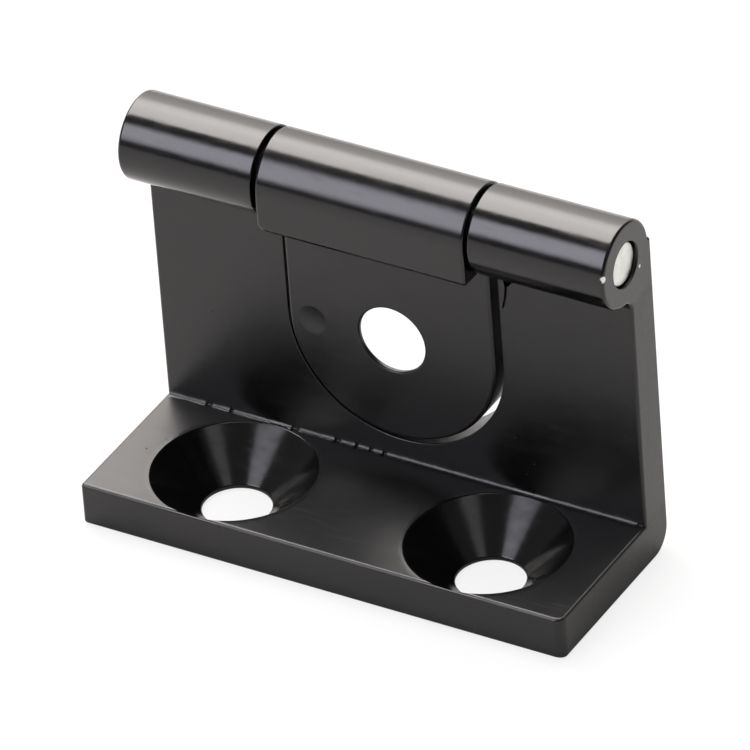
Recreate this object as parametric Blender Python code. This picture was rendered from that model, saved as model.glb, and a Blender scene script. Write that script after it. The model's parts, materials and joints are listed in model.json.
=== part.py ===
"""A small die-cast hinge in three pieces: an angle leaf, a tongue leaf and a steel pin.

The angle leaf is a foot and an upright plate with a knuckle at each end of its top edge. The
tongue leaf has the middle knuckle, and hangs in a window that is open at the plate's top.

World axes: X along the pin, Y from the foot's front edge to the plate's back, Z up. The origin
is on the plane that the foot stands on, under the middle of the hinge's bounding box.
"""

import math

import bmesh
import bpy
from mathutils import Vector

MM = 0.001

# Whole hinge
WIDTH = 50.0 * MM
DEPTH = 19.66 * MM
FRONT = -DEPTH / 2
BACK = DEPTH / 2

# Pin, bore and knuckles
PIN_RADIUS = 2.1 * MM
PIN_RECESS = 0.33 * MM
PIN_CHAMFER = 0.2 * MM
BORE_RADIUS = 2.2 * MM
BARREL_RADIUS = 4.18 * MM
PIN_Y = BACK - 4.59 * MM
PIN_Z = 33.5 * MM
KNUCKLE_GAP_HALF = 11.15 * MM
MIDDLE_KNUCKLE_HALF = 10.7 * MM

# Angle leaf
FOOT_THICKNESS = 4.39 * MM
PLATE_THICKNESS = 3.95 * MM
PLATE_FRONT = BACK - PLATE_THICKNESS
LEDGE_RISE = 0.24 * MM
NECK_FILLET = 0.5 * MM
ROOT_FILLET = 0.3 * MM
HEEL_RADIUS = 2.5 * MM
FOOT_EDGE_RADIUS = 0.45 * MM
LEDGE_EDGE_RADIUS = 0.3 * MM
FOOT_CORNER_RADIUS = 0.9 * MM
END_CHAMFER = 0.25 * MM
WINDOW_CENTRE_Z = 17.75 * MM

# Tongue leaf
TONGUE_HALF = 10.65 * MM
TONGUE_CENTRE_Z = 18.0 * MM
TONGUE_CHAMFER = 0.2 * MM
LIP_DROP = 4.1 * MM
LIP_RADIUS = 0.35 * MM
LIP_ROOT = 2.0 * MM

# Countersunk screw holes
FOOT_HOLE_RADIUS = 3.25 * MM
TONGUE_HOLE_RADIUS = 3.4 * MM
HOLE_LAND = 0.45 * MM
SINK_RADIUS = 7.7 * MM
SINK_SLOPE = (SINK_RADIUS - FOOT_HOLE_RADIUS) / (FOOT_THICKNESS - HOLE_LAND)
FOOT_HOLE_X = 13.25 * MM
FOOT_HOLE_Y = PIN_Y - 7.4 * MM

# How far a cutter runs past the faces that it opens
PAST = 1.0 * MM

# Facets
CORNER_STEPS = 4
HEEL_STEPS = 8
LEDGE_STEPS = 2
BARREL_STEPS = 44
LIPPED_BARREL_STEPS = 36
WINDOW_STEPS = 28
BORE_SEGMENTS = 48
HOLE_SEGMENTS = 48
SMOOTH_BELOW = math.radians(30.0)


def clear_scene():
    for obj in list(bpy.data.objects):
        bpy.data.objects.remove(obj, do_unlink=True)


def material(name, color, roughness, metallic):
    """A Principled material of one colour."""
    result = bpy.data.materials.new(name)
    result.use_nodes = True
    shader = result.node_tree.nodes["Principled BSDF"]
    shader.inputs["Base Color"].default_value = (*color, 1.0)
    shader.inputs["Roughness"].default_value = roughness
    shader.inputs["Metallic"].default_value = metallic
    return result


def arc(centre, radius, start, end, steps):
    """Points on a circle in a plane, from the start angle to the end angle in degrees."""
    points = []
    for step in range(steps + 1):
        angle = math.radians(start + (end - start) * step / steps)
        offset = Vector((math.cos(angle), math.sin(angle))) * radius
        points.append(Vector(centre) + offset)
    return points


def round_corner(before, corner, after, radius, steps=CORNER_STEPS):
    """The arc that rounds the corner between two straight sides of an outline."""
    corner = Vector(corner)
    side_in = (Vector(before) - corner).normalized()
    side_out = (Vector(after) - corner).normalized()
    half_angle = side_in.angle(side_out) / 2
    centre = corner + (side_in + side_out).normalized() * radius / math.sin(half_angle)
    first = corner + side_in * radius / math.tan(half_angle) - centre
    last = corner + side_out * radius / math.tan(half_angle) - centre
    start = math.degrees(math.atan2(first.y, first.x))
    sweep = math.degrees(math.atan2(first.cross(last), first.dot(last)))
    return arc(centre, radius, start, start + sweep, steps)


def add_object(name, mesh_data):
    """A new scene object with the finished bmesh."""
    bmesh.ops.recalc_face_normals(mesh_data, faces=mesh_data.faces)
    mesh = bpy.data.meshes.new(name)
    mesh_data.to_mesh(mesh)
    mesh_data.free()
    result = bpy.data.objects.new(name, mesh)
    bpy.context.scene.collection.objects.link(result)
    return result


def prism(name, outline, axis, low, high, chamfer=0.0):
    """An outline extruded along X (outline in Y, Z), Y (in X, Z) or Z (in X, Y).

    The chamfer goes round both end faces.
    """
    across = [index for index in range(3) if index != axis]
    mesh_data = bmesh.new()
    first = []
    for point in outline:
        place = Vector((0.0, 0.0, 0.0))
        place[axis] = low
        place[across[0]] = point[0]
        place[across[1]] = point[1]
        first.append(mesh_data.verts.new(place))
    start = mesh_data.faces.new(first)
    extruded = bmesh.ops.extrude_face_region(mesh_data, geom=[start], use_keep_orig=True)
    moved = [item for item in extruded["geom"] if isinstance(item, bmesh.types.BMVert)]
    end = next(item for item in extruded["geom"] if isinstance(item, bmesh.types.BMFace))
    travel = Vector((0.0, 0.0, 0.0))
    travel[axis] = high - low
    bmesh.ops.translate(mesh_data, verts=moved, vec=travel)
    bmesh.ops.recalc_face_normals(mesh_data, faces=mesh_data.faces)
    if chamfer:
        rims = list(start.edges) + list(end.edges)
        bmesh.ops.bevel(mesh_data, geom=rims, offset=chamfer, segments=1, affect="EDGES")
    return add_object(name, mesh_data)


def turned(name, profile, centre, axis, segments):
    """A profile of (radius, distance along the axis) pairs turned a full circle.

    The profile's first and last points are on the axis.
    """
    across = [index for index in range(3) if index != axis]
    mesh_data = bmesh.new()
    verts = []
    for radius, along in profile:
        place = Vector(centre)
        place[across[0]] += radius
        place[axis] += along
        verts.append(mesh_data.verts.new(place))
    edges = [mesh_data.edges.new(pair) for pair in zip(verts, verts[1:])]
    direction = Vector((0.0, 0.0, 0.0))
    direction[axis] = 1.0
    bmesh.ops.spin(
        mesh_data,
        geom=verts + edges,
        cent=Vector(centre),
        axis=direction,
        angle=math.tau,
        steps=segments,
        use_merge=True,
    )
    bmesh.ops.remove_doubles(mesh_data, verts=mesh_data.verts, dist=0.001 * MM)
    return add_object(name, mesh_data)


def combine(target, tool, operation):
    """A Boolean of target with tool. The tool stays in the scene as a guide."""
    tool.hide_render = True
    tool.display_type = "WIRE"
    modifier = target.modifiers.new(tool.name, "BOOLEAN")
    modifier.operation = operation
    modifier.object = tool


def finish(obj, finish_material):
    """Gives a piece its material, its origin on the pin's axis, and smooth shading."""
    origin = Vector((0.0, PIN_Y, PIN_Z))
    obj.data.transform(obj.matrix_world.Translation(-origin))
    obj.location = origin
    obj.data.materials.append(finish_material)
    obj.data.shade_smooth()
    obj.data.set_sharp_from_angle(angle=SMOOTH_BELOW)


def angle_leaf_outline():
    """The foot, plate and knuckle seen along X, as (Y, Z) points from the foot's front edge."""
    toe_low = (FRONT, 0.0)
    heel = (BACK, 0.0)
    ledge_back = (BACK, PIN_Z + LEDGE_RISE)
    ledge_front = (PIN_Y, PIN_Z + LEDGE_RISE)
    ledge_angle = math.degrees(math.asin(LEDGE_RISE / BARREL_RADIUS))
    neck_y = PLATE_FRONT - PIN_Y - NECK_FILLET
    neck_drop = math.sqrt((BARREL_RADIUS + NECK_FILLET) ** 2 - neck_y**2)
    neck_angle = math.degrees(math.atan2(-neck_drop, neck_y))
    neck_centre = (PIN_Y + neck_y, PIN_Z - neck_drop)
    root = (PLATE_FRONT, FOOT_THICKNESS)
    toe_high = (FRONT, FOOT_THICKNESS)
    return [
        *round_corner(toe_high, toe_low, heel, FOOT_EDGE_RADIUS),
        *round_corner(toe_low, heel, ledge_back, HEEL_RADIUS, HEEL_STEPS),
        *round_corner(heel, ledge_back, ledge_front, LEDGE_EDGE_RADIUS, LEDGE_STEPS),
        *arc((PIN_Y, PIN_Z), BARREL_RADIUS, ledge_angle, 360.0 + neck_angle, BARREL_STEPS),
        *arc(neck_centre, NECK_FILLET, 180.0 + neck_angle, 0.0, CORNER_STEPS)[1:],
        *round_corner(neck_centre[:1] + (PIN_Z,), root, toe_high, ROOT_FILLET),
        *round_corner(root, toe_high, toe_low, FOOT_EDGE_RADIUS),
    ]


def tongue_outline(half_width, centre_z, top):
    """A straight-sided strip with a half-round lower end, as (X, Z) points."""
    return [
        *arc((0.0, centre_z), half_width, 180.0, 360.0, WINDOW_STEPS),
        Vector((half_width, top)),
        Vector((-half_width, top)),
    ]


def lipped_knuckle_outline():
    """The middle knuckle: round, with a square lip at its lower front, as (Y, Z) points.

    Its lower back ends inside the tongue.
    """
    front_y = PIN_Y - BARREL_RADIUS
    lip_z = PIN_Z - LIP_DROP
    inner_y = PIN_Y + LIP_ROOT
    start = math.degrees(math.acos(LIP_ROOT / BARREL_RADIUS))
    lip = round_corner((front_y, PIN_Z), (front_y, lip_z), (inner_y, lip_z), LIP_RADIUS)
    barrel = arc((PIN_Y, PIN_Z), BARREL_RADIUS, -start, 180.0, LIPPED_BARREL_STEPS)
    return [*lip, Vector((inner_y, lip_z)), *barrel]


def screw_hole_profile(radius, thickness):
    """A countersunk hole's cutter, up its axis from the narrow end."""
    mouth = radius + (thickness - HOLE_LAND) * SINK_SLOPE
    return [
        (0.0, -PAST),
        (radius, -PAST),
        (radius, HOLE_LAND),
        (mouth, thickness),
        (mouth, thickness + PAST),
        (0.0, thickness + PAST),
    ]


def bore_cutter(name):
    half = WIDTH / 2 + PAST
    profile = [(0.0, -half), (BORE_RADIUS, -half), (BORE_RADIUS, half), (0.0, half)]
    return turned(name, profile, (0.0, PIN_Y, PIN_Z), 0, BORE_SEGMENTS)


def foot_corner_cutter(name, side):
    """What is cut away to round one of the foot's upright front corners."""
    corner_x = side * WIDTH / 2
    outer_x = corner_x + side * PAST
    centre = (corner_x - side * FOOT_CORNER_RADIUS, FRONT + FOOT_CORNER_RADIUS)
    start, end = (-90.0, 0.0) if side > 0 else (-90.0, -180.0)
    curve = arc(centre, FOOT_CORNER_RADIUS, start, end, CORNER_STEPS)
    outline = [
        Vector((centre[0], FRONT - PAST)),
        *curve,
        Vector((outer_x, centre[1])),
        Vector((outer_x, FRONT - PAST)),
    ]
    return prism(name, outline, 2, -PAST, FOOT_THICKNESS + PAST)


def make_angle_leaf(paint):
    half = WIDTH / 2
    leaf = prism("angle_leaf", angle_leaf_outline(), 0, -half, half, END_CHAMFER)
    for side, label in ((-1, "left"), (1, "right")):
        combine(leaf, foot_corner_cutter(f"cut_corner_{label}", side), "DIFFERENCE")
        centre = (side * FOOT_HOLE_X, FOOT_HOLE_Y, 0.0)
        profile = screw_hole_profile(FOOT_HOLE_RADIUS, FOOT_THICKNESS)
        hole = turned(f"cut_screw_{label}", profile, centre, 2, HOLE_SEGMENTS)
        combine(leaf, hole, "DIFFERENCE")
    top = PIN_Z + BARREL_RADIUS + PAST
    window_outline = tongue_outline(KNUCKLE_GAP_HALF, WINDOW_CENTRE_Z, top)
    front_y = PIN_Y - BARREL_RADIUS - PAST
    window = prism("cut_window", window_outline, 1, front_y, BACK + PAST)
    combine(leaf, window, "DIFFERENCE")
    combine(leaf, bore_cutter("cut_leaf_bore"), "DIFFERENCE")
    finish(leaf, paint)
    return leaf


def make_tongue_leaf(paint):
    outline = tongue_outline(TONGUE_HALF, TONGUE_CENTRE_Z, PIN_Z + LEDGE_RISE)
    leaf = prism("tongue_leaf", outline, 1, PIN_Y, BACK, TONGUE_CHAMFER)
    half = MIDDLE_KNUCKLE_HALF
    knuckle = prism("middle_knuckle", lipped_knuckle_outline(), 0, -half, half, TONGUE_CHAMFER)
    combine(leaf, knuckle, "UNION")
    centre = (0.0, PIN_Y, TONGUE_CENTRE_Z)
    profile = screw_hole_profile(TONGUE_HOLE_RADIUS, BACK - PIN_Y)
    combine(leaf, turned("cut_tongue_screw", profile, centre, 1, HOLE_SEGMENTS), "DIFFERENCE")
    combine(leaf, bore_cutter("cut_tongue_bore"), "DIFFERENCE")
    finish(leaf, paint)
    return leaf


def make_hinge_pin(steel):
    end = WIDTH / 2 - PIN_RECESS
    profile = [
        (0.0, -end),
        (PIN_RADIUS - PIN_CHAMFER, -end),
        (PIN_RADIUS, -end + PIN_CHAMFER),
        (PIN_RADIUS, end - PIN_CHAMFER),
        (PIN_RADIUS - PIN_CHAMFER, end),
        (0.0, end),
    ]
    pin = turned("hinge_pin", profile, (0.0, PIN_Y, PIN_Z), 0, BORE_SEGMENTS)
    finish(pin, steel)
    return pin


def main():
    clear_scene()
    make_angle_leaf(material("angle_leaf_paint", (0.018, 0.018, 0.020), 0.28, 0.0))
    make_tongue_leaf(material("tongue_leaf_paint", (0.020, 0.020, 0.022), 0.32, 0.0))
    make_hinge_pin(material("pin_steel", (0.74, 0.75, 0.73), 0.35, 1.0))


main()
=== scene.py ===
"""The looks of a small die-cast hinge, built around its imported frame.

World axes: X along the pin, Y from the foot's front edge to the plate's back, Z up, in metres.
Sections are outlines of arcs and straight sides. An inset outline keeps each arc's centre and
changes only its radius, so rounded rims are stacks of inset outlines.
"""

import json
import math

import bmesh
import bpy
from mathutils import Matrix, Vector


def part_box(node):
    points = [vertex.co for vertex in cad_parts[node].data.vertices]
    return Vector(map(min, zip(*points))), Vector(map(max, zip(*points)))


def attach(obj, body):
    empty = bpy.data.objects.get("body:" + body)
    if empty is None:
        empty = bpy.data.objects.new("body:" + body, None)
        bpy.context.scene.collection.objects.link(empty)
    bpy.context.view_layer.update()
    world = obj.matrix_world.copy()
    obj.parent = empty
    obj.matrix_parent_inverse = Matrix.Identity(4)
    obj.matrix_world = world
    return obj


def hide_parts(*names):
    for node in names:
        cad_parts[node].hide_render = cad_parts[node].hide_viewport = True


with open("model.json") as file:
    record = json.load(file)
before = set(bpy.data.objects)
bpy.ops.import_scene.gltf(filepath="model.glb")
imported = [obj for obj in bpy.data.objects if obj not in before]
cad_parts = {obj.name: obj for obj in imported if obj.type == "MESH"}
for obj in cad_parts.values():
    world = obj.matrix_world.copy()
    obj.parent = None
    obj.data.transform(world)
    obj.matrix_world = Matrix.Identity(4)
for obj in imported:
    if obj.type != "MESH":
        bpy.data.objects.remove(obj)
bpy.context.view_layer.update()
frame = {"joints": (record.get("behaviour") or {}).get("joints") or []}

MM = 0.001

# From the frame
leaf_low, leaf_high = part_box("angle_leaf")
tongue_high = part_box("tongue_leaf")[1]
pin_low, pin_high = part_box("hinge_pin")
PIN_Y, PIN_Z = frame["joints"][0]["pos_m"][1:]
HALF_WIDTH = leaf_high.x
FRONT = leaf_low.y
BACK = leaf_high.y
BARREL_RADIUS = leaf_high.z - PIN_Z
PIN_RADIUS = (pin_high.z - pin_low.z) / 2
PIN_HALF = pin_high.x
MIDDLE_KNUCKLE_HALF = tongue_high.x

# Angle leaf
FOOT_THICKNESS = 4.39 * MM
PLATE_THICKNESS = 3.95 * MM
PLATE_FRONT = BACK - PLATE_THICKNESS
LEDGE_RISE = 0.24 * MM
NECK_FILLET = 1.3 * MM
# The fillet where the plate stands on the foot: its radius, the radius where it is broken, how
# deep its back is sunk in the metal, and how far it takes to come back after a break
ROOT_FILLET = 0.48 * MM
ROOT_PINCHED = 0.06 * MM
ROOT_SUNK = 0.2 * MM
ROOT_FADE = 0.12 * MM
# The middle and half the length of each break, in millimetres
ROOT_BREAKS = (
    (-20.5, 0.25), (-18.1, 0.1), (-11.4, 0.28), (-6.9, 0.22),
    (-4.9, 0.08), (-3.4, 0.1), (-2.0, 0.12), (24.6, 0.3),
)
# Waves in the radius: share of it, radians per millimetre, and start
ROOT_WAVES = ((0.09, 2.3, 0.4), (0.06, 5.9, 1.7), (0.05, 11.3, 4.1))
ROOT_STEP = 0.25 * MM
HEEL_RADIUS = 2.5 * MM
FOOT_EDGE_RADIUS = 0.38 * MM
LEDGE_EDGE_RADIUS = 0.3 * MM
LEFT_CORNER_RADIUS = 0.34 * MM
RIGHT_CORNER_RADIUS = 0.9 * MM
END_ROUNDING = 0.32 * MM
WINDOW_HALF = 11.15 * MM
WINDOW_CENTRE_Z = 17.75 * MM
WINDOW_ROUNDING = 0.26 * MM
# A casting flaw beside the window, a torn notch that runs out in a crack: (X, Z, half width)
# along each, in millimetres
FLAW_NOTCH = (
    (12.45, 29.2, 1.3), (12.4, 28.2, 0.95), (12.3, 27.75, 0.66), (12.15, 27.4, 0.36),
    (12.0, 26.9, 0.14),
)
FLAW_CRACK = (
    (12.05, 27.2, 0.16), (12.0, 26.7, 0.12), (12.0, 26.3, 0.17), (11.9, 25.8, 0.14),
    (11.85, 25.4, 0.17), (11.65, 24.9, 0.11), (11.55, 24.5, 0.05),
)
NOTCH_DEPTH = 1.2 * MM
CRACK_DEPTH = 0.28 * MM
# The floor's width as a share of the width at the plate's front
FLAW_FLOOR_SHARE = 0.6
BORE_RADIUS = 2.2 * MM
BORE_ROUNDING = 0.12 * MM

# Tongue leaf
TONGUE_HALF = 10.65 * MM
TONGUE_CENTRE_Z = 18.0 * MM
TONGUE_ROUNDING = 0.35 * MM
KNUCKLE_ROUNDING = 0.26 * MM
LIP_DROP = 4.1 * MM
LIP_RADIUS = 0.7 * MM
LIP_ROOT = 2.0 * MM
LIP_LEFT_CORNER = 0.8 * MM
LIP_RIGHT_CORNER = 0.3 * MM
EJECTOR_PLACE = (-8.25 * MM, PIN_Y, 17.9 * MM)
EJECTOR_RADIUS = 1.6 * MM
EJECTOR_SLOPE = 0.3 * MM
EJECTOR_DEPTH = 0.07 * MM
KNUCKLE_FLAT = 0.13 * MM
KNUCKLE_FLAT_ANGLE = 137.0
KNUCKLE_FLAT_SPREAD = 25.0

# Pin
PIN_CHAMFER = 0.2 * MM

# Countersunk screw holes
FOOT_HOLE_RADIUS = 3.25 * MM
FOOT_SINK_RADIUS = 7.7 * MM
TONGUE_HOLE_RADIUS = 3.4 * MM
HOLE_LAND = 0.45 * MM
SINK_SLOPE = (FOOT_SINK_RADIUS - FOOT_HOLE_RADIUS) / (FOOT_THICKNESS - HOLE_LAND)
FOOT_HOLE_X = 13.25 * MM
FOOT_HOLE_Y = PIN_Y - 7.4 * MM
SINK_RIM_ROUNDING = 0.3 * MM
LAND_ROUNDING = 0.25 * MM
NARROW_RIM_ROUNDING = 0.2 * MM

# How far a cutter runs past the faces that it opens
PAST = 1.0 * MM
# Distances that count as none: in a Boolean's leftovers, where a turned profile closes, and
# between an edge and the wall that it is on
SLIVER = 0.0003 * MM
SEAM = 0.0005 * MM
ON_WALL = 0.01 * MM

# Dust grains on the angle leaf: (X, Y, Z, radius) in millimetres
SPECKS = (
    (12.0, 5.86, 10.4, 0.09), (13.8, 5.86, 8.0, 0.11), (12.9, 5.86, 6.6, 0.06),
    (23.5, 5.86, 14.0, 0.08), (19.6, 5.86, 7.8, 0.06), (16.4, 5.86, 12.9, 0.05),
    (21.9, 5.86, 10.6, 0.05), (8.7, 5.86, 5.9, 0.05), (-14.7, 5.86, 24.4, 0.05),
    (-19.3, 5.86, 15.2, 0.05), (4.8, 5.1, 4.38, 0.1), (3.1, 3.4, 4.38, 0.05),
    (-22.3, -2.5, 4.38, 0.08), (-21.4, -0.5, 4.38, 0.06), (-0.6, -1.2, 4.38, 0.05),
    (1.9, -5.3, 4.38, 0.05), (22.4, 1.6, 4.38, 0.05), (20.9, -6.2, 4.38, 0.06),
)

# Steps round curves
CORNER_STEPS = 6
BARREL_STEPS = 120
HALF_ROUND_STEPS = 96
ROUND_SEGMENTS = 128
BEVEL_SEGMENTS = 3

# Turns in degrees, above which an edge can be rounded or is shaded sharp
ROUNDED_TURN = 35.0
SHARP_TURN = 38.0
# How strongly large faces set the normals at their corners, out of 100
FLATNESS = 100


# ---------------------------------------------------------------- outlines


def arc(centre, radius, start, end, steps):
    """Points on a circle in a plane, from the start angle to the end angle in degrees."""
    points = []
    for step in range(steps + 1):
        angle = math.radians(start + (end - start) * step / steps)
        offset = Vector((math.cos(angle), math.sin(angle))) * radius
        points.append(Vector(centre) + offset)
    return points


def round_corner(before, corner, after, radius):
    """The arc that rounds the corner between two straight sides of an outline."""
    corner = Vector(corner)
    side_in = (Vector(before) - corner).normalized()
    side_out = (Vector(after) - corner).normalized()
    half_angle = side_in.angle(side_out) / 2
    centre = corner + (side_in + side_out).normalized() * radius / math.sin(half_angle)
    first = corner + side_in * radius / math.tan(half_angle) - centre
    last = corner + side_out * radius / math.tan(half_angle) - centre
    start = math.degrees(math.atan2(first.y, first.x))
    sweep = math.degrees(math.atan2(first.cross(last), first.dot(last)))
    return arc(centre, radius, start, start + sweep, CORNER_STEPS)


def quarter_drop(distance, radius):
    """How far a quarter round of that radius has fallen, at a distance in from its end."""
    if distance >= radius:
        return 0.0
    return radius - math.sqrt(radius**2 - (radius - distance) ** 2)


def rim_stations(*radii):
    """Distances in from an end, largest first, that follow quarter rounds of those radii."""
    distances = set()
    for radius in radii:
        for step in range(CORNER_STEPS + 1):
            angle = math.pi / 2 * step / CORNER_STEPS
            distances.add(round(radius * (1 - math.sin(angle)), 9))
    return sorted(distances, reverse=True)


# ---------------------------------------------------------------- meshes


def add_object(name, mesh_data):
    """A new scene object with the finished bmesh."""
    bmesh.ops.recalc_face_normals(mesh_data, faces=mesh_data.faces)
    mesh = bpy.data.meshes.new(name)
    mesh_data.to_mesh(mesh)
    mesh_data.free()
    result = bpy.data.objects.new(name, mesh)
    bpy.context.scene.collection.objects.link(result)
    return result


def place_on(axis, along, point):
    """The place of an outline's point, in an outline across that axis."""
    values = [point[0], point[1]]
    values.insert(axis, along)
    return Vector(values)


def stacked(name, rings, axis):
    """A closed body through rings of (place along the axis, outline), capped at both ends."""
    mesh_data = bmesh.new()
    loops = []
    for along, outline in rings:
        loops.append([mesh_data.verts.new(place_on(axis, along, point)) for point in outline])
    for lower, upper in zip(loops, loops[1:]):
        for index in range(len(lower)):
            after = (index + 1) % len(lower)
            mesh_data.faces.new((lower[index], lower[after], upper[after], upper[index]))
    mesh_data.faces.new(loops[0])
    mesh_data.faces.new(loops[-1])
    return add_object(name, mesh_data)


def turned(name, profile, centre, axis):
    """A profile of (radius, distance along the axis) pairs turned a full circle.

    The profile's first and last points are on the axis.
    """
    across = [index for index in range(3) if index != axis]
    mesh_data = bmesh.new()
    verts = []
    for radius, along in profile:
        place = Vector(centre)
        place[across[0]] += radius
        place[axis] += along
        verts.append(mesh_data.verts.new(place))
    edges = [mesh_data.edges.new(pair) for pair in zip(verts, verts[1:])]
    direction = Vector((0.0, 0.0, 0.0))
    direction[axis] = 1.0
    bmesh.ops.spin(
        mesh_data,
        geom=verts + edges,
        cent=Vector(centre),
        axis=direction,
        angle=math.tau,
        steps=ROUND_SEGMENTS,
        use_merge=True,
    )
    bmesh.ops.remove_doubles(mesh_data, verts=mesh_data.verts, dist=SEAM)
    return add_object(name, mesh_data)


def use_modifiers(obj):
    """Puts the object's modifiers into its mesh."""
    graph = bpy.context.evaluated_depsgraph_get()
    mesh = bpy.data.meshes.new_from_object(obj.evaluated_get(graph))
    obj.modifiers.clear()
    obj.data = mesh


def combine(target, tool, operation):
    """A Boolean of target with tool, which is used up."""
    modifier = target.modifiers.new(tool.name, "BOOLEAN")
    modifier.operation = operation
    modifier.object = tool
    modifier.solver = "EXACT"
    use_modifiers(target)
    bpy.data.objects.remove(tool, do_unlink=True)


def round_edges(obj, chosen, width):
    """Rounds the edges that the test picks, among those that turn enough to be corners."""
    mesh_data = bmesh.new()
    mesh_data.from_mesh(obj.data)
    mesh_data.normal_update()
    picked = []
    for edge in mesh_data.edges:
        if len(edge.link_faces) != 2 or edge.calc_face_angle(0.0) < math.radians(ROUNDED_TURN):
            continue
        if chosen(edge):
            picked.append(edge)
    bmesh.ops.bevel(
        mesh_data,
        geom=picked,
        offset=width,
        offset_type="OFFSET",
        segments=BEVEL_SEGMENTS,
        profile=0.5,
        affect="EDGES",
        clamp_overlap=True,
    )
    mesh_data.to_mesh(obj.data)
    mesh_data.free()


def clean(obj):
    """Takes out the zero-size faces that Booleans leave where surfaces just touch."""
    mesh_data = bmesh.new()
    mesh_data.from_mesh(obj.data)
    bmesh.ops.remove_doubles(mesh_data, verts=mesh_data.verts, dist=SLIVER)
    bmesh.ops.dissolve_degenerate(mesh_data, edges=mesh_data.edges, dist=SLIVER)
    mesh_data.to_mesh(obj.data)
    mesh_data.free()


def smooth(obj):
    """Smooth shading that keeps flat faces flat, with sharp edges only at real corners."""
    clean(obj)
    obj.data.shade_smooth()
    obj.data.set_sharp_from_angle(angle=math.radians(SHARP_TURN))
    modifier = obj.modifiers.new("flat_faces_stay_flat", "WEIGHTED_NORMAL")
    modifier.mode = "FACE_AREA"
    modifier.weight = FLATNESS
    modifier.keep_sharp = True
    use_modifiers(obj)


# ---------------------------------------------------------------- pieces


def neck_geometry():
    """The centre of the fillet under the knuckle, and its direction from the pin in degrees."""
    across = PLATE_FRONT - PIN_Y - NECK_FILLET
    drop = math.sqrt((BARREL_RADIUS + NECK_FILLET) ** 2 - across**2)
    return (PIN_Y + across, PIN_Z - drop), math.degrees(math.atan2(-drop, across))


def root_fillet(x):
    """The fillet's radius between plate and foot, which varies a little and breaks in places."""
    radius = ROOT_FILLET
    for share, turns, start in ROOT_WAVES:
        radius += ROOT_FILLET * share * math.sin(turns * x / MM + start)
    for middle, half in ROOT_BREAKS:
        outside = abs(x - middle * MM) - half * MM
        shown = min(max(outside / ROOT_FADE, 0.0), 1.0)
        radius = min(radius, ROOT_PINCHED + (radius - ROOT_PINCHED) * shown)
    return radius


def root_bead():
    """The uneven fillet of metal and paint where the plate stands on the foot."""
    left = -HALF_WIDTH + END_ROUNDING
    stations = {-left, left}
    for step in range(1, int(-2 * left / ROOT_STEP)):
        stations.add(round(left + step * ROOT_STEP, 7))
    for middle, half in ROOT_BREAKS:
        for side in (-1, 1):
            stations.add(round(middle * MM + side * half * MM, 7))
            stations.add(round(middle * MM + side * (half * MM + ROOT_FADE), 7))
    rings = []
    for x in sorted(station for station in stations if left <= station <= -left):
        radius = root_fillet(x)
        centre = (PLATE_FRONT - radius, FOOT_THICKNESS + radius)
        rings.append((x, [
            *arc(centre, radius, 0, -90, CORNER_STEPS),
            Vector((centre[0], FOOT_THICKNESS - ROOT_SUNK)),
            Vector((PLATE_FRONT + ROOT_SUNK, FOOT_THICKNESS - ROOT_SUNK)),
            Vector((PLATE_FRONT + ROOT_SUNK, centre[1])),
        ]))
    return stacked("root_bead", rings, 0)


def angle_leaf_section(inset, toe_shift):
    """The foot, plate and knuckle seen along X, as (Y, Z) points."""
    neck_centre, neck_angle = neck_geometry()
    toe_y = FRONT + FOOT_EDGE_RADIUS + toe_shift
    toe_radius = FOOT_EDGE_RADIUS - inset
    barrel = BARREL_RADIUS - inset
    ledge_angle = math.degrees(math.asin((LEDGE_RISE - inset) / barrel))
    ledge_z = PIN_Z + LEDGE_RISE - LEDGE_EDGE_RADIUS
    steps = CORNER_STEPS
    return [
        *arc((toe_y, FOOT_EDGE_RADIUS), toe_radius, 180, 270, steps),
        *arc((BACK - HEEL_RADIUS, HEEL_RADIUS), HEEL_RADIUS - inset, 270, 360, 4 * steps),
        *arc((BACK - LEDGE_EDGE_RADIUS, ledge_z), LEDGE_EDGE_RADIUS - inset, 0, 90, steps),
        *arc((PIN_Y, PIN_Z), barrel, ledge_angle, 360 + neck_angle, BARREL_STEPS),
        *arc(neck_centre, NECK_FILLET + inset, 180 + neck_angle, 0, 2 * steps)[1:],
        Vector((PLATE_FRONT + inset, FOOT_THICKNESS - inset)),
        *arc((toe_y, FOOT_THICKNESS - FOOT_EDGE_RADIUS), toe_radius, 90, 180, steps),
    ]


def angle_leaf_rings():
    """Sections from the left end to the right, with rounded ends and rounded toe corners."""
    rings = []
    for side, corner in ((-1, LEFT_CORNER_RADIUS), (1, RIGHT_CORNER_RADIUS)):
        end = []
        for distance in rim_stations(END_ROUNDING, corner):
            inset = quarter_drop(distance, END_ROUNDING)
            toe_shift = max(quarter_drop(distance, corner) - inset, 0.0)
            end.append((side * (HALF_WIDTH - distance), angle_leaf_section(inset, toe_shift)))
        rings.extend(end if side > 0 else reversed(end))
    return rings


def strip_outline(half_width, centre_z, top, inset):
    """A straight-sided strip with a half-round lower end, as (X, Z) points."""
    radius = half_width - inset
    return [
        *arc((0.0, centre_z), radius, 180, 360, HALF_ROUND_STEPS),
        Vector((radius, top - inset)),
        Vector((-radius, top - inset)),
    ]


def screw_hole_profile(radius, thickness):
    """A countersunk hole's cutter, up its axis from the narrow end, with rounded rims."""
    mouth = radius + (thickness - HOLE_LAND) * SINK_SLOPE
    outline = [
        (radius + PAST, 0.0), (radius, 0.0), (radius, HOLE_LAND), (mouth, thickness),
        (mouth + PAST, thickness),
    ]
    roundings = (NARROW_RIM_ROUNDING, LAND_ROUNDING, SINK_RIM_ROUNDING)
    profile = []
    for index, rounding in enumerate(roundings):
        profile.extend(round_corner(*outline[index:index + 3], rounding))
    low = Vector((profile[0].x, -PAST))
    high = Vector((profile[-1].x, thickness + PAST))
    return [(0.0, low.y), low, *profile, high, (0.0, high.y)]


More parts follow.
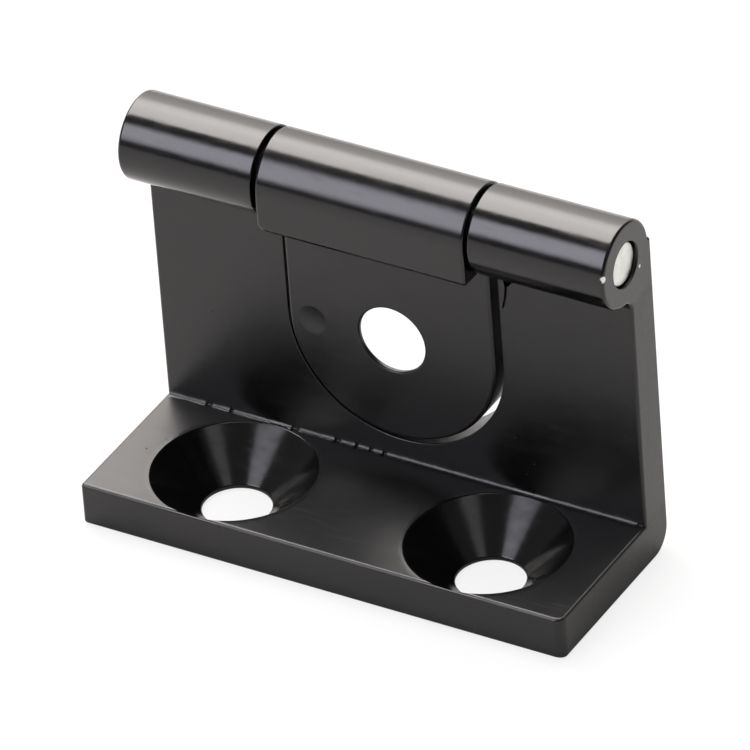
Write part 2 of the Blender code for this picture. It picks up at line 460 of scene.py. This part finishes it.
def bore_cutter(name, half):
    """The pin's hole, with its rim rounded at both ends of a knuckle row of that half length."""
    rim = []
    for step in range(CORNER_STEPS + 1):
        angle = math.pi / 2 * step / CORNER_STEPS
        rim.append((
            BORE_RADIUS + BORE_ROUNDING * (1 - math.cos(angle)),
            half - BORE_ROUNDING * (1 - math.sin(angle)),
        ))
    wide = BORE_RADIUS + BORE_ROUNDING
    right = [*rim, (wide, half + PAST), (0.0, half + PAST)]
    left = [(radius, -along) for radius, along in reversed(right)]
    return turned(name, [*left, *right], (0.0, PIN_Y, PIN_Z), 0)


def on_window_wall(edge):
    """Whether both of an edge's ends are on the window's walls."""
    for vert in edge.verts:
        if vert.co.z >= WINDOW_CENTRE_Z:
            off = abs(abs(vert.co.x) - WINDOW_HALF)
        else:
            off = abs(math.hypot(vert.co.x, vert.co.z - WINDOW_CENTRE_Z) - WINDOW_HALF)
        if off > ON_WALL:
            return False
    return True


def flaw_cutter(course, depth):
    """A ragged groove in the plate's front that narrows toward its floor."""
    rings = []
    wider = (depth + PAST) / depth * (1 - FLAW_FLOOR_SHARE)
    for along, share in ((-PAST, FLAW_FLOOR_SHARE + wider), (depth, FLAW_FLOOR_SHARE)):
        right = [Vector((x + half * share, z)) * MM for x, z, half in course]
        left = [Vector((x - half * share, z)) * MM for x, z, half in course]
        rings.append((PLATE_FRONT + along, [*right, *reversed(left)]))
    return stacked("cut_flaw", rings, 1)


def specks():
    """Grains of dust caught in the paint, to be half sunk in the leaf's faces."""
    mesh_data = bmesh.new()
    for x, y, z, size in SPECKS:
        place = Matrix.Translation(Vector((x, y, z)) * MM)
        bmesh.ops.create_icosphere(mesh_data, subdivisions=2, radius=size * MM, matrix=place)
    return add_object("specks", mesh_data)


def mark_specks(leaf):
    """Gives the grains' faces the mesh's second material."""
    for face in leaf.data.polygons:
        for x, y, z, size in SPECKS:
            if (face.center - Vector((x, y, z)) * MM).length < size * MM:
                face.material_index = 1


def make_angle_leaf():
    """The foot, plate and end knuckles, with the window, its flaw and the screw holes."""
    leaf = stacked("angle_leaf_casting", angle_leaf_rings(), 0)
    top = PIN_Z + BARREL_RADIUS + PAST
    outline = strip_outline(WINDOW_HALF, WINDOW_CENTRE_Z, top, 0.0)
    front = PIN_Y - BARREL_RADIUS - PAST
    window = stacked("cut_window", [(front, outline), (BACK + PAST, outline)], 1)
    combine(leaf, window, "DIFFERENCE")
    round_edges(leaf, on_window_wall, WINDOW_ROUNDING)
    combine(leaf, flaw_cutter(FLAW_NOTCH, NOTCH_DEPTH), "DIFFERENCE")
    combine(leaf, flaw_cutter(FLAW_CRACK, CRACK_DEPTH), "DIFFERENCE")
    combine(leaf, root_bead(), "UNION")
    for side in (-1, 1):
        centre = (side * FOOT_HOLE_X, FOOT_HOLE_Y, 0.0)
        profile = screw_hole_profile(FOOT_HOLE_RADIUS, FOOT_THICKNESS)
        hole = turned("cut_screw", profile, centre, 2)
        combine(leaf, hole, "DIFFERENCE")
    combine(leaf, bore_cutter("cut_bore", HALF_WIDTH), "DIFFERENCE")
    combine(leaf, specks(), "UNION")
    smooth(leaf)
    mark_specks(leaf)
    return leaf


def knuckle_section(inset, lip_shift):
    """The middle knuckle with its square lip, as (Y, Z) points.

    It is slightly flat at its upper front, and its lower back is in the tongue.
    """
    front_y = PIN_Y - BARREL_RADIUS
    lip_z = PIN_Z - LIP_DROP + lip_shift
    lip_centre = (front_y + LIP_RADIUS, lip_z + LIP_RADIUS)
    inner_y = PIN_Y + LIP_ROOT
    start = math.degrees(math.acos(LIP_ROOT / BARREL_RADIUS))
    barrel = []
    for step in range(BARREL_STEPS + 1):
        turn = -start + (180 + start) * step / BARREL_STEPS
        flat = math.exp(-(((turn - KNUCKLE_FLAT_ANGLE) / KNUCKLE_FLAT_SPREAD) ** 2))
        radius = BARREL_RADIUS - inset - KNUCKLE_FLAT * flat
        barrel.append(arc((PIN_Y, PIN_Z), radius, turn, turn, 1)[0])
    return [
        *arc(lip_centre, LIP_RADIUS - inset, 180, 270, CORNER_STEPS),
        Vector((inner_y, lip_z + inset)),
        *barrel,
    ]


def knuckle_rings():
    """Sections from the left end to the right, with rounded ends and lip corners."""
    rings = []
    for side, corner in ((-1, LIP_LEFT_CORNER), (1, LIP_RIGHT_CORNER)):
        end = []
        for distance in rim_stations(KNUCKLE_ROUNDING, corner):
            inset = quarter_drop(distance, KNUCKLE_ROUNDING)
            lip_shift = max(quarter_drop(distance, corner) - inset, 0.0)
            section = knuckle_section(inset, lip_shift)
            end.append((side * (MIDDLE_KNUCKLE_HALF - distance), section))
        rings.extend(end if side > 0 else reversed(end))
    return rings


def tongue_rings():
    """Sections from the front to the back, with rounded rims."""
    rings = []
    distances = rim_stations(TONGUE_ROUNDING)
    stations = [(PIN_Y + distance, distance) for distance in reversed(distances)]
    stations += [(BACK - distance, distance) for distance in distances]
    for along, distance in stations:
        inset = quarter_drop(distance, TONGUE_ROUNDING)
        outline = strip_outline(TONGUE_HALF, TONGUE_CENTRE_Z, PIN_Z + LEDGE_RISE, inset)
        rings.append((along, outline))
    return rings


def ejector_mark_cutter():
    """A shallow dish on the tongue's front, as a mould's ejector pin leaves it."""
    past = EJECTOR_RADIUS + EJECTOR_SLOPE * PAST / EJECTOR_DEPTH
    floor = EJECTOR_RADIUS - EJECTOR_SLOPE
    profile = [(0.0, -PAST), (past, -PAST), (floor, EJECTOR_DEPTH), (0.0, EJECTOR_DEPTH)]
    return turned("cut_ejector_mark", profile, EJECTOR_PLACE, 1)


def make_tongue_leaf():
    """The tongue and middle knuckle, with the screw hole and the ejector mark."""
    leaf = stacked("tongue_leaf_casting", tongue_rings(), 1)
    combine(leaf, stacked("middle_knuckle", knuckle_rings(), 0), "UNION")
    centre = (0.0, PIN_Y, TONGUE_CENTRE_Z)
    profile = screw_hole_profile(TONGUE_HOLE_RADIUS, BACK - PIN_Y)
    hole = turned("cut_screw", profile, centre, 1)
    combine(leaf, hole, "DIFFERENCE")
    combine(leaf, ejector_mark_cutter(), "DIFFERENCE")
    combine(leaf, bore_cutter("cut_bore", MIDDLE_KNUCKLE_HALF), "DIFFERENCE")
    smooth(leaf)
    return leaf


def make_pin():
    """The pin, with rounded ends."""
    end = []
    for step in range(CORNER_STEPS + 1):
        angle = math.pi / 2 * step / CORNER_STEPS
        end.append((
            PIN_RADIUS - PIN_CHAMFER * (1 - math.cos(angle)),
            PIN_HALF - PIN_CHAMFER * (1 - math.sin(angle)),
        ))
    right = [*end, (0.0, PIN_HALF)]
    left = [(radius, -along) for radius, along in reversed(right)]
    pin = turned("steel_pin", [*left, *right], (0.0, PIN_Y, PIN_Z), 0)
    smooth(pin)
    return pin


# ---------------------------------------------------------------- materials


# The height from which the round faces' smooth finish starts
BARREL_FOOT = PIN_Z - BARREL_RADIUS
# How far one finish takes to turn into the next
BLEND = 0.6 * MM

# Each paint: its darkest and lightest grey, then its roughness on round and on flat faces
LEAF_PAINT = ((0.0012, 0.0017), (0.14, 0.19), (0.285, 0.325))
TONGUE_PAINT = ((0.0013, 0.0018), (0.165, 0.215), (0.285, 0.33))
FOOT_HAZE = (0.33, 0.38)
PAINT_PATCHES = 6.0 * MM
PAINT_HAZE = 3.0 * MM
PEEL_SIZE = 1.6 * MM
PEEL_DEPTH = 0.012 * MM
SCUFF_SIZE = 4.0 * MM
SCUFF_STRETCH = 7.0
SCUFF_DULLNESS = 0.05

# Chips where the paint has come off an edge: place in millimetres, and size
CHIPS = (((25.0, 1.25, 34.4), 0.28), ((25.0, 7.6, 31.9), 0.14))
CHIP_RAGGED = 0.25 * MM
CHIP_FADE = 1.25
BARE_ZINC = (0.8, 0.8, 0.79, 1.0)
BARE_ROUGHNESS = 0.45

DUST_DARK = (0.05, 0.05, 0.045, 1.0)
DUST_LIGHT = (0.12, 0.12, 0.11, 1.0)
DUST_PATCHES = 1.0 * MM
DUST_ROUGHNESS = 0.9

STEEL_DARK = (0.63, 0.655, 0.62, 1.0)
STEEL_LIGHT = (0.74, 0.755, 0.725, 1.0)
STEEL_ROUGHNESS = (0.28, 0.42)
STEEL_PATCHES = 0.8 * MM
DRAWN_SIZE = 0.5 * MM
DRAWN_STRETCH = 9.0
DRAWN_DEPTH = 0.004 * MM

# The parts of a noise's range that are used in full: a wide one, a narrow one, and its crests
WIDE = (0.3, 0.7)
NARROW = (0.35, 0.65)
CRESTS = (0.56, 0.66)


def node(tree, kind, inputs=None, **settings):
    """A new node. Its inputs are values, or other nodes' outputs to link."""
    new = tree.nodes.new(kind)
    for name, value in settings.items():
        setattr(new, name, value)
    for name, value in (inputs or {}).items():
        if isinstance(value, bpy.types.NodeSocket):
            tree.links.new(value, new.inputs[name])
        else:
            new.inputs[name].default_value = value
    return new


def new_material(name):
    """A material with its node tree, its shader, and the place on the object."""
    material = bpy.data.materials.new(name)
    material.use_nodes = True
    tree = material.node_tree
    shader = tree.nodes["Principled BSDF"]
    place = node(tree, "ShaderNodeTexCoord").outputs["Object"]
    return material, tree, shader, place


def noise(tree, place, size, detail=2.0, roughness=0.5):
    """Noise whose lumps are about that size in metres."""
    inputs = {"Vector": place, "Scale": 1.0 / size, "Detail": detail, "Roughness": roughness}
    return node(tree, "ShaderNodeTexNoise", inputs).outputs["Fac"]


def ranged(tree, value, low, high, to_low, to_high):
    """A value's range stretched to another, and held inside it."""
    inputs = {
        "Value": value, "From Min": low, "From Max": high, "To Min": to_low, "To Max": to_high,
    }
    return node(tree, "ShaderNodeMapRange", inputs).outputs["Result"]


def bump(tree, height, depth):
    """A normal that follows a height."""
    inputs = {"Height": height, "Distance": depth, "Strength": 1.0}
    return node(tree, "ShaderNodeBump", inputs).outputs["Normal"]


def near(tree, place, centre, core, rim):
    """1 within the core's distance of a point, falling to 0 at the rim's."""
    gap = node(tree, "ShaderNodeVectorMath", operation="DISTANCE")
    tree.links.new(place, gap.inputs[0])
    gap.inputs[1].default_value = centre
    return ranged(tree, gap.outputs["Value"], core, rim, 1.0, 0.0)


def largest(tree, values):
    """The largest of some masks."""
    result = values[0]
    for value in values[1:]:
        both = node(tree, "ShaderNodeMath", operation="MAXIMUM")
        tree.links.new(result, both.inputs[0])
        tree.links.new(value, both.inputs[1])
        result = both.outputs["Value"]
    return result


def blend(tree, factor, low, high, kind="FLOAT"):
    """A mix of two numbers or colours, given as values or outputs."""
    new = node(tree, "ShaderNodeMix", data_type=kind)
    sockets = {
        "FLOAT": ("Factor_Float", "A_Float", "B_Float", "Result_Float"),
        "RGBA": ("Factor_Float", "A_Color", "B_Color", "Result_Color"),
    }[kind]
    inputs = {socket.identifier: socket for socket in new.inputs}
    outputs = {socket.identifier: socket for socket in new.outputs}
    for name, value in zip(sockets, (factor, low, high)):
        if isinstance(value, bpy.types.NodeSocket):
            tree.links.new(value, inputs[name])
        else:
            inputs[name].default_value = value
    return outputs[sockets[3]]


def add_chips(tree, shader, place, color, gloss):
    """Bare metal where the paint is chipped. Gives the new colour and roughness."""
    ragged = noise(tree, place, CHIP_RAGGED)
    jitter = node(tree, "ShaderNodeVectorMath", operation="MULTIPLY_ADD")
    tree.links.new(ragged, jitter.inputs[0])
    jitter.inputs[1].default_value = (CHIP_RAGGED,) * 3
    tree.links.new(place, jitter.inputs[2])
    masks = []
    for centre, size in CHIPS:
        middle = Vector(centre) * MM + Vector((CHIP_RAGGED,) * 3) / 2
        rim = size * CHIP_FADE * MM
        masks.append(near(tree, jitter.outputs["Vector"], middle, size * MM, rim))
    bare = largest(tree, masks)
    color = blend(tree, bare, color, BARE_ZINC, "RGBA")
    gloss = blend(tree, bare, gloss, BARE_ROUGHNESS)
    tree.links.new(bare, shader.inputs["Metallic"])
    return color, gloss


def make_paint(name, greys, polished, dull, chipped=False):
    """Black stoved paint on a die casting: smooth on round faces, duller on the cast flats."""
    material, tree, shader, place = new_material(name)
    patches = noise(tree, place, PAINT_PATCHES, detail=4.0)
    dark, light = ((grey, grey, grey, 1.0) for grey in greys)
    color = blend(tree, ranged(tree, patches, *NARROW, 0.0, 1.0), dark, light, "RGBA")
    axes = node(tree, "ShaderNodeSeparateXYZ", {"Vector": place})
    round_faces = [ranged(tree, axes.outputs["Z"], BARREL_FOOT - BLEND, BARREL_FOOT, 0.0, 1.0)]
    for side in (-1, 1):
        centre = (side * FOOT_HOLE_X, FOOT_HOLE_Y, FOOT_THICKNESS / 2)
        reach = FOOT_SINK_RADIUS + SINK_RIM_ROUNDING
        round_faces.append(near(tree, place, centre, reach, reach + BLEND))
    haze = noise(tree, place, PAINT_HAZE, detail=5.0, roughness=0.6)
    flat = blend(
        tree, ranged(tree, axes.outputs["Z"], FOOT_THICKNESS, FOOT_THICKNESS + BLEND, 1.0, 0.0),
        ranged(tree, haze, *WIDE, *dull), ranged(tree, haze, *WIDE, *FOOT_HAZE))
    gloss = blend(tree, largest(tree, round_faces), flat, ranged(tree, haze, *WIDE, *polished))
    # Scuffs along X, where other parts have rubbed
    stretch = (1.0, SCUFF_STRETCH, SCUFF_STRETCH)
    stretched = node(tree, "ShaderNodeMapping", {"Vector": place, "Scale": stretch})
    rubbed = noise(tree, stretched.outputs["Vector"], SCUFF_SIZE, detail=3.0)
    scuffs = node(tree, "ShaderNodeMath", operation="ADD")
    tree.links.new(gloss, scuffs.inputs[0])
    tree.links.new(ranged(tree, rubbed, *CRESTS, 0.0, SCUFF_DULLNESS), scuffs.inputs[1])
    gloss = scuffs.outputs["Value"]
    if chipped:
        color, gloss = add_chips(tree, shader, place, color, gloss)
    tree.links.new(color, shader.inputs["Base Color"])
    tree.links.new(gloss, shader.inputs["Roughness"])
    peel = bump(tree, noise(tree, place, PEEL_SIZE, detail=1.0), PEEL_DEPTH)
    tree.links.new(peel, shader.inputs["Normal"])
    return material


def make_dust():
    """Grey dust."""
    material, tree, shader, place = new_material("dust")
    patches = noise(tree, place, DUST_PATCHES)
    color = blend(
        tree, ranged(tree, patches, *WIDE, 0.0, 1.0), DUST_DARK, DUST_LIGHT, "RGBA")
    tree.links.new(color, shader.inputs["Base Color"])
    shader.inputs["Roughness"].default_value = DUST_ROUGHNESS
    return material


def make_steel():
    """The cropped end of bright drawn wire."""
    material, tree, shader, place = new_material("drawn_steel")
    shader.inputs["Metallic"].default_value = 1.0
    patches = noise(tree, place, STEEL_PATCHES, detail=4.0)
    color = blend(
        tree, ranged(tree, patches, *NARROW, 0.0, 1.0), STEEL_DARK, STEEL_LIGHT, "RGBA")
    tree.links.new(color, shader.inputs["Base Color"])
    gloss = ranged(tree, patches, *WIDE, *STEEL_ROUGHNESS)
    tree.links.new(gloss, shader.inputs["Roughness"])
    stretch = (1.0, 1.0, DRAWN_STRETCH)
    drawn = node(tree, "ShaderNodeMapping", {"Vector": place, "Scale": stretch})
    lines = noise(tree, drawn.outputs["Vector"], DRAWN_SIZE, detail=3.0)
    tree.links.new(bump(tree, lines, DRAWN_DEPTH), shader.inputs["Normal"])
    return material


# ---------------------------------------------------------------- studio

VIEW_AZIMUTH = 32.244
VIEW_ELEVATION = 35.158
VIEW_ROLL = -4.426
VIEW_DISTANCE = 1.0772
VIEW_CENTRE = (0.747 * MM, 0.818 * MM, 17.268 * MM)
LENS = 575.6
SENSOR = 36.0
NEAREST = 0.05
FARTHEST = 20.0

LAMP_DISTANCE = 1.0
LAMP_STEPS = 60
# Each lamp is part of a tunnel round X: where it runs along X, its tint, then its light by the
# angle from the back horizon over the top to the front horizon
LAMPS = {
    "key": (-1.15, 0.2, (1.0, 0.955, 0.92), (
        (0.0, 0.9), (16.0, 1.7), (28.0, 2.6), (40.0, 4.0), (52.0, 8.8), (64.0, 11.0),
        (97.0, 11.0), (100.0, 6.0),
    )),
    "strip": (-0.75, -0.16, (0.97, 0.94, 1.06), (
        (121.0, 1.6), (129.0, 6.0), (156.0, 6.0), (165.0, 2.0),
    )),
    "side": (0.38, 0.62, (1.0, 1.0, 1.0), ((95.0, 1.1), (115.0, 1.1))),
}
ROOM_LIGHT = 0.18
FLOOR_SIZE = 6.0
FLOOR_DROP = 0.05 * MM
FLOOR_COLOR = 0.36
FLOOR_GLOW = 0.05
SHEET_DROP = 0.04 * MM
SHEET_COLOR = 0.1
SHEET_GLOW = 0.8
GROUND_ROUGHNESS = 0.9


def make_camera():
    """The camera at the photo's angle, turned level first and then rolled."""
    azimuth = math.radians(VIEW_AZIMUTH)
    elevation = math.radians(VIEW_ELEVATION)
    roll = math.radians(VIEW_ROLL)
    back = Vector((
        math.sin(azimuth) * math.cos(elevation),
        -math.cos(azimuth) * math.cos(elevation),
        math.sin(elevation),
    ))
    level = Vector((math.cos(azimuth), math.sin(azimuth), 0.0))
    upright = back.cross(level)
    right = math.cos(roll) * level + math.sin(roll) * upright
    up = back.cross(right)
    data = bpy.data.cameras.new("camera")
    data.sensor_width = SENSOR
    data.lens = LENS
    data.clip_start = NEAREST
    data.clip_end = FARTHEST
    camera = bpy.data.objects.new("camera", data)
    place = Vector(VIEW_CENTRE) + back * VIEW_DISTANCE
    camera.matrix_world = Matrix((
        (right.x, up.x, back.x, place.x),
        (right.y, up.y, back.y, place.y),
        (right.z, up.z, back.z, place.z),
        (0.0, 0.0, 0.0, 1.0),
    ))
    bpy.context.scene.collection.objects.link(camera)
    bpy.context.scene.camera = camera


def make_lamp_material(name, tint, lights):
    """A glow that follows the angle round X."""
    material = bpy.data.materials.new(name)
    material.use_nodes = True
    tree = material.node_tree
    tree.nodes.clear()
    place = node(tree, "ShaderNodeTexCoord").outputs["Object"]
    axes = node(tree, "ShaderNodeSeparateXYZ", {"Vector": place})
    turn = node(tree, "ShaderNodeMath", operation="ARCTAN2")
    tree.links.new(axes.outputs["Z"], turn.inputs[0])
    tree.links.new(axes.outputs["Y"], turn.inputs[1])
    share = ranged(tree, turn.outputs["Value"], 0.0, math.pi, 0.0, 1.0)
    ramp = node(tree, "ShaderNodeValToRGB", {"Fac": share})
    elements = ramp.color_ramp.elements
    elements.remove(elements[-1])
    brightest = max(light for angle, light in lights)
    for index, (angle, light) in enumerate(lights):
        element = elements[0] if index == 0 else elements.new(angle / 180.0)
        element.position = angle / 180.0
        element.color = (*(channel * light / brightest for channel in tint), 1.0)
    glow = node(tree, "ShaderNodeEmission", {
        "Color": ramp.outputs["Color"], "Strength": brightest,
    })
    output = node(tree, "ShaderNodeOutputMaterial")
    tree.links.new(glow.outputs["Emission"], output.inputs["Surface"])
    return material


def make_lamp(name, low_x, high_x, tint, lights):
    """A soft light, curved round the hinge. Only its light is seen."""
    mesh_data = bmesh.new()
    rows = []
    for x in (low_x, high_x):
        outline = arc((0.0, 0.0), LAMP_DISTANCE, lights[0][0], lights[-1][0], LAMP_STEPS)
        rows.append([mesh_data.verts.new((x, point.x, point.y)) for point in outline])
    for index in range(LAMP_STEPS):
        mesh_data.faces.new(
            (rows[0][index], rows[0][index + 1], rows[1][index + 1], rows[1][index]))
    lamp = add_object(name, mesh_data)
    lamp.data.materials.append(make_lamp_material(name, tint, lights))
    lamp.visible_camera = False


def make_ground(name, drop, color, glow):
    """A plain pale sheet under the hinge."""
    mesh_data = bmesh.new()
    half = FLOOR_SIZE / 2
    corners = ((-half, -half), (half, -half), (half, half), (-half, half))
    mesh_data.faces.new([mesh_data.verts.new((x, y, -drop)) for x, y in corners])
    ground = add_object(name, mesh_data)
    material = bpy.data.materials.new(name)
    material.use_nodes = True
    shader = material.node_tree.nodes["Principled BSDF"]
    shader.inputs["Base Color"].default_value = (color, color, color, 1.0)
    shader.inputs["Roughness"].default_value = GROUND_ROUGHNESS
    shader.inputs["Specular IOR Level"].default_value = 0.0
    shader.inputs["Emission Color"].default_value = (1.0, 1.0, 1.0, 1.0)
    shader.inputs["Emission Strength"].default_value = glow
    ground.data.materials.append(material)
    return ground


def make_floor():
    """A floor that lights the hinge, under a lit sheet that only the camera sees."""
    floor = make_ground("floor", FLOOR_DROP, FLOOR_COLOR, FLOOR_GLOW)
    floor.visible_camera = False
    sheet = make_ground("white_sheet", SHEET_DROP, SHEET_COLOR, SHEET_GLOW)
    sheet.visible_diffuse = False
    sheet.visible_glossy = False
    sheet.visible_transmission = False
    sheet.visible_shadow = False


def make_room():
    """A faint even light from all round."""
    world = bpy.data.worlds.new("room")
    world.use_nodes = True
    background = world.node_tree.nodes["Background"]
    background.inputs["Color"].default_value = (1.0, 1.0, 1.0, 1.0)
    background.inputs["Strength"].default_value = ROOM_LIGHT
    bpy.context.scene.world = world
    bpy.context.scene.view_settings.view_transform = "Standard"


# ---------------------------------------------------------------- assembly


def install(piece, body, cad_node, slot, *materials):
    """Gives a finished piece its materials and body, in place of its plain CAD node."""
    piece.data.materials.clear()
    for material in materials:
        piece.data.materials.append(material)
    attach(piece, body)
    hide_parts(cad_node)


def main():
    leaf_paint = make_paint("black_paint_leaf", *LEAF_PAINT, chipped=True)
    tongue_paint = make_paint("black_paint_tongue", *TONGUE_PAINT)
    install(
        make_angle_leaf(), "angle_leaf", "angle_leaf", "black_paint", leaf_paint, make_dust())
    install(make_tongue_leaf(), "tongue_leaf", "tongue_leaf", "black_paint", tongue_paint)
    install(make_pin(), "angle_leaf", "hinge_pin", "pin_steel", make_steel())
    make_camera()
    for name, settings in LAMPS.items():
        make_lamp(name, *settings)
    make_floor()
    make_room()


main()
